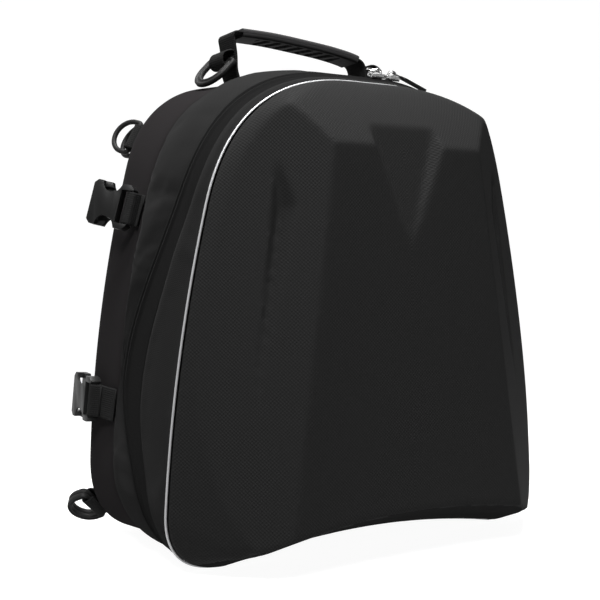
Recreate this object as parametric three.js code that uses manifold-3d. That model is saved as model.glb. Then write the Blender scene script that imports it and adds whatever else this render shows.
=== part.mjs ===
// Motorcycle backpack with a moulded front shell, soft side strips and a soft rear compartment.
// Millimetres. X runs across the bag, Y from its front to its back and Z up from the ground.
import * as THREE from 'three';
import { mergeVertices } from 'three/addons/utils/BufferGeometryUtils.js';
import { ConvexGeometry } from 'three/addons/geometries/ConvexGeometry.js';
import Module from 'manifold-3d';

const wasm = await Module();
wasm.setup();

const { lerp, clamp, degToRad } = THREE.MathUtils;
const vec2 = (x, y) => new THREE.Vector2(x, y);
const vec3 = (x, y, z) => new THREE.Vector3(x, y, z);

// Driving dimensions of the body
const PIPING_Y = -100; // plane of the piped seam between the shell and the soft body
const GAP = 0.3; // clearance between neighbouring pieces
const CLOTH = 2; // wall of the soft strips
const PANEL = 2.5; // wall of the rear compartment
const PIPING_RADIUS = 2.6;
const SEAM_BACK = 80; // seam between the rear strip and the rear compartment
const REAR_EDGE_BACK = 124; // where the sides start to round into the back panel
const REAR_ROUND = 15; // radius of that rounded edge

// Outline of the body at several distances behind the piped seam. halfBase and halfTop are the
// half widths of the sharp corners, bow is how far the sides swell between them, arch is how far the
// underside rises in the middle, and baseCorner and topCorner are the lengths of the rounded corners.
const BODY_SECTIONS = [
  { back: 0, base: 2.8, arch: 12, top: 357, halfBase: 168, halfTop: 108,
    bow: 13, baseCorner: 43, topCorner: 95 },
  { back: 22, base: 0, arch: 9, top: 366, halfBase: 171, halfTop: 113,
    bow: 14, baseCorner: 58, topCorner: 94 },
  { back: 80, base: 0, arch: 0, top: 366, halfBase: 176, halfTop: 121,
    bow: 16, baseCorner: 78, topCorner: 86 },
  { back: 124, base: 0, arch: 0, top: 366, halfBase: 180, halfTop: 128,
    bow: 15, baseCorner: 64, topCorner: 70 },
];

// Straight pieces along each stretch of half an outline
const STRETCH_STEPS = { bottom: 3, baseCorner: 5, side: 7, topCorner: 7, top: 2 };

// The lines that divide the side strips bow towards the back of the bag at a low height. edge is
// their distance behind the piped seam at the top, swell is how much further they reach at peak.
const ZIP_LINE = { edge: 21, swell: 54, peak: 125, below: 85, above: 130 };
const WELT_LINE = { edge: 9, swell: 37, peak: 125, below: 70, above: 115 };
const PUFF_SHARE = 0.2; // most padding for each millimetre of a strip's width
const REST_HEIGHT = 45; // the padding fades out below this height

// Driving dimensions of the front shell. Forward distances run from the piped seam to the front.
const SHELL_WALL = 4;
const SHELL_RIM = 6; // depth of the upright rim
const SHELL_TOP_FORWARD = 80; // beyond every facet
const SHELL_ROWS = 8;
const HOLLOW_START = -1; // the hollow runs out behind the rim
const SIDE_BEVEL_LIMIT = 40;
const TOP_BEVEL = 0.6; // share of the side bevel at the top corners
const SHELL_CORNER = { top: 10, base: 14, reach: 30 }; // the corners tighten to these over this reach
const BASE_DRAFT = 0.42; // rise of the underside for each millimetre forward
const BROW = { rise: 58, reach: 56, power: 1.5 }; // curved slope from the top rim to the facets
const PLATEAU = { forward: 68, fall: 0.032 }; // fall is the lean for each millimetre of height
const FLANK = { forward: 149.4, fall: 0.138, slope: 0.77 }; // slope is the fall across the bag

// V-shaped recess between the two raised arms at the top of the shell
const VEE = { apexHeight: 232, topHeight: 345, floorHalf: 36.5, floorFall: 0.148, wallRun: 32, wallRise: 40 };

// Dart-shaped recess on each flank: corners by distance from the middle and by height
const DART = {
  top: { across: 97, height: 298 },
  inner: { across: 87, height: 261 },
  tip: { across: 121, height: 103 },
  deep: { across: 100, height: 258, depth: 9 },
};

// Webbing, rings and buckles
const WEBBING = { width: 25, thickness: 1.6 };
const RING = { width: 32, depth: 25, bar: 4.2, thickness: 4 };
const LOOP = { tail: 4, wall: 1.8, slack: 0.8, taper: 0.6, clearance: 1 };
const BUCKLE = {
  length: 36, width: 35, thickness: 11, corner: 3,
  neckStart: 8, neckEnd: 18, neckDepth: 6,
  mouthDepth: 22, mouthWidth: 27, mouthHeight: 7.4,
  slot: 5, slotWidth: 26, bar: 3, barThickness: 4,
};
const CUT_PAST = 1; // how far a cutting block runs out of its piece
const STRAP = { start: 82, free: 11, turnSteps: 6, foldLength: 10 };
const SIDE_STRAPS = [
  { name: 'upper', height: 261, tilt: 9.5, bend: 90, lift: 1.8, outward: 6 },
  { name: 'lower', height: 112, tilt: 3, bend: 97, lift: 3.6, outward: -12 },
];
const EDGE_RINGS = [
  { name: 'upper', height: 324, outward: 19, fan: 12, spacing: 5.6 },
  { name: 'lower', height: 24, outward: 33, fan: 0, spacing: 4.3 },
];

// Carrying handle, in the upright plane through the middle of the rear compartment
const HANDLE_BACK = 104;
const HANDLE_STRAP = { width: 25, thickness: 2.4 };
const HANDLE_FOOT = { across: 62, lift: 1.1 }; // across is the distance from the middle
const HANDLE_ROUTE = [
  { across: -67, height: 376 },
  { across: -69, height: 388 },
  { across: -68.5, height: 399 },
  { across: -65, height: 405 },
  { across: -58, height: 406.5 },
  { across: -30, height: 406 },
  { across: 0, height: 403.4 },
  { across: 30, height: 400 },
  { across: 52, height: 395.5 },
  { across: 59, height: 390 },
  { across: 61, height: 378 },
];
const HANDLE_STEPS = 36;
const GRIP = { width: 28, height: 7, firstStep: 9, lastStep: 30 };
const TOP_RING = { across: 79, height: 375.5, slope: 43 };

// Zip sliders at the top of the bag
const SLIDER = { length: 12, width: 8.5, nose: 5, thickness: 3.6, tilt: 22, lift: 1.5 };
const BAIL = { radius: 3.2, wall: 1.1, width: 2.4, sink: 0.2, eye: 2.1 }; // eye is where a ring hangs
const LEFT_SLIDER = 25; // distance from the middle
const RIGHT_SLIDER = 39;
const PULL_RING = { radius: 4.6, wire: 1.3, roundSteps: 6, ringSteps: 14 };
const PULL = { width: 8.5, thickness: 3, length: 24, slope: 12, overlap: 0.4 };

// Looks of the pieces
const LOOKS = {
  shell: { color: 0x232323, roughness: 0.5, metalness: 0 },
  strip: { color: 0x2b2b2b, roughness: 0.85, metalness: 0 },
  cloth: { color: 0x242223, roughness: 0.9, metalness: 0 },
  webbing: { color: 0x1f1f1f, roughness: 0.9, metalness: 0 },
  plastic: { color: 0x1c1c1c, roughness: 0.4, metalness: 0 },
  reflective: { color: 0xa6a8aa, roughness: 0.4, metalness: 0 },
  chrome: { color: 0xc8c8ca, roughness: 0.2, metalness: 1 },
};

// Geometry helpers

// Keeps positions only, joins equal corners and turns the faces outwards
function welded(geometry) {
  const plain = geometry.clone();
  plain.deleteAttribute('normal');
  plain.deleteAttribute('uv');
  const merged = mergeVertices(plain, 1e-4);
  if (volume(merged) < 0) flipFaces(merged);
  return merged;
}

function corner(geometry, k) {
  return vec3().fromBufferAttribute(geometry.attributes.position, geometry.index.getX(k));
}

function volume(geometry) {
  let sum = 0;
  for (let k = 0; k < geometry.index.count; k += 3) {
    sum += corner(geometry, k).dot(corner(geometry, k + 1).cross(corner(geometry, k + 2))) / 6;
  }
  return sum;
}

function flipFaces(geometry) {
  const index = geometry.index;
  for (let k = 0; k < index.count; k += 3) {
    const second = index.getX(k + 1);
    index.setX(k + 1, index.getX(k + 2));
    index.setX(k + 2, second);
  }
}

function mirrored(geometry) {
  const copy = geometry.clone().applyMatrix4(new THREE.Matrix4().makeScale(-1, 1, 1));
  flipFaces(copy);
  return copy;
}

function toSolid(geometry) {
  const merged = welded(geometry);
  return new wasm.Manifold(new wasm.Mesh({
    numProp: 3,
    vertProperties: new Float32Array(merged.attributes.position.array),
    triVerts: Uint32Array.from(merged.index.array),
  }));
}

function toGeometry(solid) {
  const mesh = solid.getMesh();
  const geometry = new THREE.BufferGeometry();
  geometry.setAttribute('position', new THREE.BufferAttribute(mesh.vertProperties, 3));
  geometry.setIndex(new THREE.BufferAttribute(mesh.triVerts, 1));
  return geometry;
}

// Skin through rings with equal numbers of points. A closed loft joins its last ring to its first,
// an open one is capped at both ends.
function loft(rings, closed = false) {
  const count = rings[0].length;
  const points = rings.flat();
  const index = [];
  const at = (ring, k) => (ring % rings.length) * count + (k % count);
  const spans = closed ? rings.length : rings.length - 1;
  for (let r = 0; r < spans; r += 1) {
    for (let k = 0; k < count; k += 1) {
      index.push(at(r, k), at(r, k + 1), at(r + 1, k + 1));
      index.push(at(r, k), at(r + 1, k + 1), at(r + 1, k));
    }
  }
  if (!closed) {
    for (const [ring, turn] of [[0, -1], [rings.length - 1, 1]]) {
      const centre = points.length;
      const middle = rings[ring].reduce((sum, p) => sum.add(p), vec3()).divideScalar(count);
      points.push(middle);
      for (let k = 0; k < count; k += 1) {
        const pair = turn > 0 ? [at(ring, k), at(ring, k + 1)] : [at(ring, k + 1), at(ring, k)];
        index.push(centre, ...pair);
      }
    }
  }
  const geometry = new THREE.BufferGeometry().setFromPoints(points);
  geometry.setIndex(index);
  return welded(geometry);
}

// Moves a shape drawn along X, Y and Z to the axes along, across and their normal
function placed(geometry, origin, along, across) {
  const normal = along.clone().cross(across);
  const matrix = new THREE.Matrix4().makeBasis(along, across, normal).setPosition(origin);
  return welded(geometry.clone().applyMatrix4(matrix));
}

function box(sizeX, sizeY, sizeZ, centre) {
  return new THREE.BoxGeometry(sizeX, sizeY, sizeZ).translate(centre.x, centre.y, centre.z);
}

// Rings of a flat band along a route, which bends only about the direction of its width
function ribbon(route, widthAxis, width, thickness) {
  return route.map((point, k) => {
    const ahead = route[Math.min(k + 1, route.length - 1)];
    const behind = route[Math.max(k - 1, 0)];
    const direction = ahead.clone().sub(behind).normalize();
    const side = widthAxis.clone().addScaledVector(direction, -widthAxis.dot(direction)).normalize();
    const rise = direction.cross(side);
    const place = (w, t) => point.clone().addScaledVector(side, w * width / 2)
      .addScaledVector(rise, t * thickness / 2);
    return [place(-1, -1), place(1, -1), place(1, 1), place(-1, 1)];
  });
}

// Body outlines

// Closed outline of X and Z points from the middle of the base, up the right side, round to the left
function outline(size) {
  const height = size.top - size.base;
  const side = (s) => vec2(
    lerp(size.halfBase, size.halfTop, s) + 4 * size.bow * s * (1 - s),
    size.base + s * height,
  );
  const lean = (s) => (size.halfTop - size.halfBase + 4 * size.bow * (1 - 2 * s)) / height;
  const tangentAt = (s, z) => vec2(side(s).x + lean(s) * (z - side(s).y), z);
  const low = size.baseCorner / height;
  const high = 1 - size.topCorner / height;
  const baseTip = tangentAt(low, size.base);
  const topTip = tangentAt(high, size.top);
  const sideTip = tangentAt(low, size.base + height * (low + high) / 2);
  const baseEnd = vec2(baseTip.x - size.baseCorner, size.base);
  const topEnd = vec2(topTip.x - size.topCorner, size.top);
  const baseMiddle = vec2(0, size.base + size.arch);
  const baseEase = vec2(baseEnd.x / 2, size.base + size.arch);
  const stretches = [
    [new THREE.QuadraticBezierCurve(baseMiddle, baseEase, baseEnd), STRETCH_STEPS.bottom],
    [new THREE.QuadraticBezierCurve(baseEnd, baseTip, side(low)), STRETCH_STEPS.baseCorner],
    [new THREE.QuadraticBezierCurve(side(low), sideTip, side(high)), STRETCH_STEPS.side],
    [new THREE.QuadraticBezierCurve(side(high), topTip, topEnd), STRETCH_STEPS.topCorner],
    [new THREE.LineCurve(topEnd, vec2(0, size.top)), STRETCH_STEPS.top],
  ];
  const right = stretches.flatMap(([curve, steps]) => curve.getPoints(steps).slice(0, -1));
  const left = right.slice(1).reverse().map((p) => vec2(-p.x, p.y));
  return [...right, vec2(0, size.top), ...left];
}

function bodySize(back) {
  const last = BODY_SECTIONS.length - 1;
  const found = BODY_SECTIONS.findIndex((row) => row.back > back);
  const next = found < 0 ? last : Math.max(found, 1);
  const [a, b] = [BODY_SECTIONS[next - 1], BODY_SECTIONS[next]];
  const t = clamp((back - a.back) / (b.back - a.back), 0, 1);
  return Object.fromEntries(Object.keys(a).map((key) => [key, lerp(a[key], b[key], t)]));
}

function outwardNormal(ring, k) {
  const ahead = ring[(k + 1) % ring.length];
  const behind = ring[(k + ring.length - 1) % ring.length];
  return vec2(ahead.y - behind.y, behind.x - ahead.x).normalize();
}

// Point k of the body outline at a distance behind the piped seam, lifted off it or sunk below it
function bodyPoint(back, k, lift = 0) {
  const ring = outline(bodySize(back));
  const point = ring[k].clone().addScaledVector(outwardNormal(ring, k), lift);
  return vec3(point.x, PIPING_Y + back, point.y);
}

const OUTLINE_COUNT = outline(BODY_SECTIONS[0]).length;
const everyPoint = (place) => Array.from({ length: OUTLINE_COUNT }, (_, k) => place(k));

// Place on the left side of the body at a height and a distance behind the seam, and the way up there
function leftSideAt(back, height) {
  const ring = outline(bodySize(back));
  for (let k = ring.length - 1; k > ring.length / 2; k -= 1) {
    const [low, high] = [ring[(k + 1) % ring.length], ring[k]];
    if (low.y <= height && high.y > height) {
      const point = low.clone().lerp(high, (height - low.y) / (high.y - low.y));
      const along = high.clone().sub(low).normalize();
      return { point: vec3(point.x, PIPING_Y + back, point.y), up: vec3(along.x, 0, along.y) };
    }
  }
  throw new Error('no outline at this height');
}

function dividingLine(line, height) {
  const spread = height < line.peak ? line.below : line.above;
  return line.edge + line.swell * Math.exp(-(((height - line.peak) / spread) ** 2));
}

// Soft strip between two dividing lines, padded in the middle and flat where it rests
function strip({ front, rear, puff, steps }) {
  const heights = outline(bodySize(SEAM_BACK / 2)).map((p) => p.y);
  const outer = Array.from({ length: steps + 1 }, (_, s) => everyPoint((k) => {
    const [from, to] = [front(heights[k]), rear(heights[k])];
    const padding = Math.min(puff, (to - from) * PUFF_SHARE) * clamp(heights[k] / REST_HEIGHT, 0, 1);
    return bodyPoint(lerp(from, to, s / steps), k, padding * Math.sin(Math.PI * s / steps));
  }));
  const inner = [rear, front].map((line) => (
    everyPoint((k) => bodyPoint(line(heights[k]), k, -CLOTH))
  ));
  return loft([...outer, ...inner], true);
}

function piping() {
  const sides = 8;
  const rings = Array.from({ length: sides }, (_, s) => {
    const angle = 2 * Math.PI * (s + 0.5) / sides;
    return everyPoint((k) => {
      const point = bodyPoint(0, k, PIPING_RADIUS * Math.cos(angle));
      point.y += PIPING_RADIUS * Math.sin(angle);
      return point;
    });
  });
  return loft(rings, true);
}

function rearBody() {
  const roundSteps = 3;
  const front = SEAM_BACK + GAP;
  const outer = [everyPoint((k) => bodyPoint(front, k))];
  for (let s = 0; s <= roundSteps; s += 1) {
    const angle = Math.PI / 2 * s / roundSteps;
    outer.push(everyPoint((k) => {
      const point = bodyPoint(REAR_EDGE_BACK, k, REAR_ROUND * (Math.cos(angle) - 1));
      point.y += REAR_ROUND * Math.sin(angle);
      return point;
    }));
  }
  const inner = [
    everyPoint((k) => bodyPoint(REAR_EDGE_BACK, k, -REAR_ROUND).add(vec3(0, REAR_ROUND - PANEL, 0))),
    everyPoint((k) => bodyPoint(REAR_EDGE_BACK, k, -PANEL)),
    everyPoint((k) => bodyPoint(front, k, -PANEL)),
  ];
  return loft([...inner, ...outer]);
}

// Front shell

// Outline of the uncut shell at a distance forward of the piped seam
function shellRing(forward, wall) {
  const rim = BODY_SECTIONS[0];
  const grown = Math.max(0, forward - SHELL_RIM);
  const sideInset = Math.min(grown, SIDE_BEVEL_LIMIT);
  const browInset = BROW.rise * Math.min(grown / BROW.reach, 1) ** BROW.power;
  const tightening = Math.min(grown / SHELL_CORNER.reach, 1);
  const size = {
    base: rim.base + BASE_DRAFT * grown,
    arch: rim.arch,
    top: rim.top - browInset,
    halfBase: rim.halfBase - sideInset,
    halfTop: rim.halfTop - sideInset * TOP_BEVEL,
    bow: rim.bow,
    baseCorner: lerp(rim.baseCorner, SHELL_CORNER.base, tightening),
    topCorner: lerp(rim.topCorner, SHELL_CORNER.top, tightening),
  };
  const ring = outline(size);
  return ring.map((p, k) => {
    const inset = p.clone().addScaledVector(outwardNormal(ring, k), -wall);
    return vec3(inset.x, PIPING_Y - forward, inset.y);
  });
}

// Everything in front of the plane through a point, as a large block
function blockInFront(point, normal) {
  const side = 900;
  const depth = 300;
  const turn = new THREE.Quaternion().setFromUnitVectors(vec3(0, 0, 1), normal);
  const block = new THREE.BoxGeometry(side, side, depth).translate(0, 0, depth / 2);
  return toSolid(block.applyQuaternion(turn).translate(point.x, point.y, point.z));
}

const plateauForward = (height) => PLATEAU.forward - PLATEAU.fall * height;
const flankForward = (across, height) => (
  FLANK.forward - FLANK.slope * across - FLANK.fall * height
);
const shellPoint = (x, forward, z) => vec3(x, PIPING_Y - forward, z);

function veeCutter(wall) {
  const apexForward = plateauForward(VEE.apexHeight);
  const floorForward = apexForward - VEE.floorFall * (VEE.topHeight - VEE.apexHeight);
  const half = VEE.floorHalf + wall;
  const apex = shellPoint(0, apexForward - wall, VEE.apexHeight - 2 * wall);
  const top = VEE.topHeight + 2 * wall;
  return toSolid(new ConvexGeometry([
    apex,
    shellPoint(-half, floorForward - wall, top),
    shellPoint(half, floorForward - wall, top),
    shellPoint(-half - VEE.wallRun, floorForward + VEE.wallRise, top),
    shellPoint(half + VEE.wallRun, floorForward + VEE.wallRise, top),
  ]));
}

// The dart's mouth lies on the flank, and its floor rises from the deep line to the inner edge
function dartCutter(side, wall) {
  const reach = 30;
  const mouth = [DART.top, DART.inner, DART.tip].map(({ across, height }) => (
    shellPoint(side * across, flankForward(across, height), height)
  ));
  const { across, height, depth } = DART.deep;
  const deep = shellPoint(side * across, flankForward(across, height) - depth, height);
  const middle = mouth.reduce((sum, p) => sum.add(p), vec3()).divideScalar(mouth.length);
  const lifted = mouth.map((p) => p.clone().add(p.clone().sub(deep).setLength(reach)));
  const points = [deep, ...lifted].map((p) => {
    const away = p.clone().sub(middle).setLength(wall);
    return p.clone().add(away);
  });
  return toSolid(new ConvexGeometry(points));
}

function shellForm(wall) {
  const start = wall > 0 ? HOLLOW_START : PIPING_RADIUS + GAP;
  const rows = Array.from({ length: SHELL_ROWS }, (_, row) => (
    lerp(SHELL_RIM, SHELL_TOP_FORWARD, row / (SHELL_ROWS - 1))
  ));
  let form = toSolid(loft([start, ...rows].map((forward) => shellRing(forward, wall))));
  const plateauNormal = vec3(0, -1, PLATEAU.fall).normalize();
  form = form.subtract(blockInFront(shellPoint(0, PLATEAU.forward - wall, 0), plateauNormal));
  for (const side of [-1, 1]) {
    const flankNormal = vec3(side * FLANK.slope, -1, FLANK.fall).normalize();
    form = form.subtract(blockInFront(shellPoint(0, FLANK.forward - wall, 0), flankNormal));
    form = form.subtract(dartCutter(side, wall));
  }
  return form.subtract(veeCutter(wall));
}

function frontShell() {
  return welded(toGeometry(shellForm(0).subtract(shellForm(SHELL_WALL))));
}

// Rings, loops, straps and buckles

// D-ring in X and Y, with the middle of its bar along Y and centred on Z = 0
function ringShape() {
  const half = RING.width / 2;
  const shape = new THREE.Shape();
  shape.moveTo(0, -half);
  shape.lineTo(RING.depth - half, -half);
  shape.absarc(RING.depth - half, 0, half, -Math.PI / 2, Math.PI / 2);
  shape.lineTo(0, half);
  const inner = half - RING.bar;
  const hole = new THREE.Path();
  hole.moveTo(RING.bar, -inner);
  hole.lineTo(RING.depth - half, -inner);
  hole.absarc(RING.depth - half, 0, inner, -Math.PI / 2, Math.PI / 2);
  hole.lineTo(RING.bar, inner);
  shape.holes.push(hole);
  const settings = { depth: RING.thickness, bevelEnabled: false, curveSegments: 8 };
  return new THREE.ExtrudeGeometry(shape, settings).translate(-RING.bar / 2, 0, -RING.thickness / 2);
}

// Folded webbing around a stack of ring bars, which lie as in ringShape
function loopShape(stack) {
  const halfBar = RING.bar / 2 + LOOP.slack;
  const halfHole = stack / 2 + LOOP.slack;
  const halfLoop = halfHole + LOOP.wall;
  const fold = halfBar + LOOP.wall;
  const innerWidth = RING.width - 2 * (RING.bar + LOOP.clearance);
  const shape = new THREE.Shape([
    vec2(-halfBar - LOOP.tail, -halfLoop * LOOP.taper),
    vec2(-halfBar, -halfLoop),
    vec2(halfBar, -halfLoop),
    vec2(fold, -halfHole * LOOP.taper),
    vec2(fold, halfHole * LOOP.taper),
    vec2(halfBar, halfLoop),
    vec2(-halfBar, halfLoop),
    vec2(-halfBar - LOOP.tail, halfLoop * LOOP.taper),
  ]);
  shape.holes.push(new THREE.Path([
    vec2(-halfBar, -halfHole),
    vec2(halfBar, -halfHole),
    vec2(halfBar, halfHole),
    vec2(-halfBar, halfHole),
  ]));
  const settings = { depth: innerWidth, bevelEnabled: false };
  return new THREE.ExtrudeGeometry(shape, settings).translate(0, 0, -innerWidth / 2).rotateX(Math.PI / 2);
}

// Socket half of a side-release buckle. Its bar lies along Y at X = 0 and its mouth faces +X.
function buckleShape() {
  const half = BUCKLE.width / 2;
  const { corner: round, neckStart, neckEnd, neckDepth, length } = BUCKLE;
  const shape = new THREE.Shape();
  shape.moveTo(-BUCKLE.bar, -half + round);
  shape.lineTo(-BUCKLE.bar + round, -half);
  shape.lineTo(neckStart, -half);
  shape.quadraticCurveTo((neckStart + neckEnd) / 2, -half + 2 * neckDepth, neckEnd, -half);
  shape.lineTo(length - round, -half);
  shape.lineTo(length, -half + round);
  shape.lineTo(length, half - round);
  shape.lineTo(length - round, half);
  shape.lineTo(neckEnd, half);
  shape.quadraticCurveTo((neckStart + neckEnd) / 2, half - 2 * neckDepth, neckStart, half);
  shape.lineTo(-BUCKLE.bar + round, half);
  shape.lineTo(-BUCKLE.bar, half - round);
  const settings = { depth: BUCKLE.thickness, bevelEnabled: false, curveSegments: 6 };
  const block = new THREE.ExtrudeGeometry(shape, settings).translate(0, 0, -BUCKLE.thickness / 2);
  const mouthMiddle = length + CUT_PAST - BUCKLE.mouthDepth / 2;
  const barCut = (BUCKLE.thickness - BUCKLE.barThickness) / 2 + CUT_PAST;
  const barCutMiddle = (BUCKLE.barThickness + barCut) / 2;
  const barRun = 2 * (BUCKLE.bar + CUT_PAST);
  const cuts = [
    box(BUCKLE.mouthDepth, BUCKLE.mouthWidth, BUCKLE.mouthHeight, vec3(mouthMiddle, 0, 0)),
    box(BUCKLE.slot, BUCKLE.slotWidth, 2 * BUCKLE.thickness, vec3(BUCKLE.slot / 2, 0, 0)),
    box(barRun, BUCKLE.slotWidth, barCut, vec3(-BUCKLE.bar, 0, barCutMiddle)),
    box(barRun, BUCKLE.slotWidth, barCut, vec3(-BUCKLE.bar, 0, -barCutMiddle)),
  ];
  return toGeometry(cuts.reduce((solid, cut) => solid.subtract(toSolid(cut)), toSolid(block)));
}

// Round wire ring in X and Y that starts at the origin
function wireRing() {
  const { radius, wire, roundSteps, ringSteps } = PULL_RING;
  return new THREE.TorusGeometry(radius, wire / 2, roundSteps, ringSteps).translate(radius, 0, 0);
}

// Zip slider that points along X, with an arched bail on its back
function sliderShape() {
  const { length, width, nose, thickness } = SLIDER;
  const plan = new THREE.Shape([
    vec2(-length / 2, -nose / 2),
    vec2(length / 6, -width / 2),
    vec2(length / 2, -width / 2),
    vec2(length / 2, width / 2),
    vec2(length / 6, width / 2),
    vec2(-length / 2, nose / 2),
  ]);
  const body = new THREE.ExtrudeGeometry(plan, { depth: thickness, bevelEnabled: false });
  const arch = new THREE.Shape();
  arch.absarc(0, 0, BAIL.radius + BAIL.wall, 0, Math.PI);
  arch.absarc(0, 0, BAIL.radius, Math.PI, 0, true);
  const bail = new THREE.ExtrudeGeometry(arch, { depth: BAIL.width, bevelEnabled: false, curveSegments: 6 })
    .rotateX(Math.PI / 2).translate(0, BAIL.width / 2, thickness - BAIL.sink);
  return toGeometry(toSolid(body).add(toSolid(bail)));
}

const bag = new THREE.Group();

function add(name, geometry, look) {
  const mesh = new THREE.Mesh(geometry, new THREE.MeshStandardMaterial(LOOKS[look]));
  mesh.name = name;
  bag.add(mesh);
}

// The left piece and its mirror image on the right side of the bag
function addPair(name, geometry, look) {
  add(`${name}_left`, geometry, look);
  add(`${name}_right`, mirrored(geometry), look);
}

function addBody() {
  add('front_shell', frontShell(), 'shell');
  add('piping', piping(), 'reflective');
  add('front_band', strip({
    front: () => PIPING_RADIUS + GAP,
    rear: (z) => dividingLine(WELT_LINE, z),
    puff: 4,
    steps: 3,
  }), 'strip');
  add('zip_strip', strip({
    front: (z) => dividingLine(WELT_LINE, z) + GAP,
    rear: (z) => dividingLine(ZIP_LINE, z),
    puff: 1,
    steps: 2,
  }), 'strip');
  add('rear_band', strip({
    front: (z) => dividingLine(ZIP_LINE, z) + GAP,
    rear: () => SEAM_BACK,
    puff: 5,
    steps: 4,
  }), 'strip');
  add('rear_body', rearBody(), 'cloth');
}

// Double rings in a loop that leaves the rounded rear edge
function addEdgeRings({ name, height, outward, fan, spacing }) {
  const { point, up } = leftSideAt(REAR_EDGE_BACK, height);
  const out = vec3(0, 1, 0).cross(up).negate().normalize();
  const turned = (degrees) => vec3(0, 1, 0).multiplyScalar(Math.cos(degToRad(degrees)))
    .addScaledVector(out, Math.sin(degToRad(degrees)));
  const along = turned(outward);
  const centre = point.clone().addScaledVector(out, -REAR_ROUND);
  const tailLength = RING.bar / 2 + LOOP.slack + LOOP.tail;
  const start = centre.addScaledVector(along, REAR_ROUND + GAP + tailLength);
  const stack = RING.thickness + spacing;
  addPair(`loop_${name}`, placed(loopShape(stack), start, along, up), 'webbing');
  for (const [letter, side] of [['a', 1], ['b', -1]]) {
    const normal = along.clone().cross(up);
    const seat = start.clone().addScaledVector(normal, side * spacing / 2);
    const direction = turned(outward - side * fan);
    addPair(`ring_${name}_${letter}`, placed(ringShape(), seat, direction, up), 'plastic');
  }
}

// Webbing tab along the side, folded round the bar of its buckle
function addSideStrap({ name, height, tilt, bend, lift, outward }) {
  const { up } = leftSideAt(bend, height);
  const out = vec3(0, 1, 0).cross(up).negate().normalize();
  const rise = Math.tan(degToRad(tilt));
  const onBody = (back, above) => leftSideAt(back, height + (back - bend) * rise).point
    .addScaledVector(out, above + WEBBING.thickness / 2);
  const start = onBody(STRAP.start, 2 * GAP);
  const turnOff = onBody(bend, lift);
  const flat = turnOff.clone().sub(start).normalize();
  const angle = degToRad(outward);
  const along = flat.clone().multiplyScalar(Math.cos(angle))
    .addScaledVector(out, Math.sin(angle)).normalize();
  const across = up.clone().negate().addScaledVector(along, up.dot(along)).normalize();
  const normal = along.clone().cross(across);
  const turn = Math.hypot(BUCKLE.bar, BUCKLE.barThickness) / 2 + WEBBING.thickness / 2 + GAP;
  const seat = turnOff.clone().addScaledVector(along, STRAP.free).addScaledVector(normal, turn);
  const near = (x, z) => seat.clone().addScaledVector(along, x).addScaledVector(normal, z);
  const fold = Array.from({ length: STRAP.turnSteps + 1 }, (_, k) => {
    const sweep = Math.PI * (k / STRAP.turnSteps - 0.5);
    return near(turn * Math.cos(sweep) - BUCKLE.bar / 2, turn * Math.sin(sweep));
  });
  const layered = -turn + WEBBING.thickness + GAP;
  const route = [
    start,
    turnOff,
    ...fold,
    near(-BUCKLE.bar - WEBBING.thickness, turn),
    near(-STRAP.foldLength / 2 - BUCKLE.bar, layered),
    near(-STRAP.foldLength, layered),
  ];
  const tab = loft(ribbon(route, across, WEBBING.width, WEBBING.thickness));
  addPair(`strap_${name}`, tab, 'webbing');
  addPair(`buckle_${name}`, placed(buckleShape(), seat, along, across), 'plastic');
}

// Height of the top of the body at a distance from the middle
function topAt(back, across) {
  const ring = outline(bodySize(back)).slice(0, OUTLINE_COUNT / 2 + 1);
  const next = ring.findIndex((p) => p.y > bodySize(back).top / 2 && p.x <= across);
  const [outside, inside] = [ring[next - 1], ring[next]];
  return lerp(inside.y, outside.y, (across - inside.x) / (outside.x - inside.x));
}

function addHandle() {
  const y = PIPING_Y + HANDLE_BACK;
  const footHeight = topAt(HANDLE_BACK, HANDLE_FOOT.across) + HANDLE_FOOT.lift;
  const route = [
    vec3(-HANDLE_FOOT.across, y, footHeight),
    ...HANDLE_ROUTE.map(({ across, height }) => vec3(across, y, height)),
    vec3(HANDLE_FOOT.across, y, footHeight),
  ];
  const points = new THREE.CatmullRomCurve3(route, false, 'centripetal').getSpacedPoints(HANDLE_STEPS);
  const widthAxis = vec3(0, 1, 0);
  const webbing = ribbon(points, widthAxis, HANDLE_STRAP.width, HANDLE_STRAP.thickness);
  add('handle_strap', loft(webbing), 'webbing');
  const held = points.slice(GRIP.firstStep, GRIP.lastStep + 1);
  const sheath = ribbon(held, widthAxis, GRIP.width, GRIP.height);
  const core = ribbon(held, widthAxis, HANDLE_STRAP.width + 2 * GAP, HANDLE_STRAP.thickness + 2 * GAP);
  add('handle_grip', loft([...sheath, ...core.reverse()], true), 'plastic');

  const slope = degToRad(TOP_RING.slope);
  const along = vec3(-Math.cos(slope), 0, -Math.sin(slope));
  const seat = vec3(-TOP_RING.across, y, TOP_RING.height);
  addPair('ring_top', placed(ringShape(), seat, along, widthAxis), 'plastic');
  addPair('loop_top', placed(loopShape(RING.thickness), seat, along, widthAxis), 'webbing');
}

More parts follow.
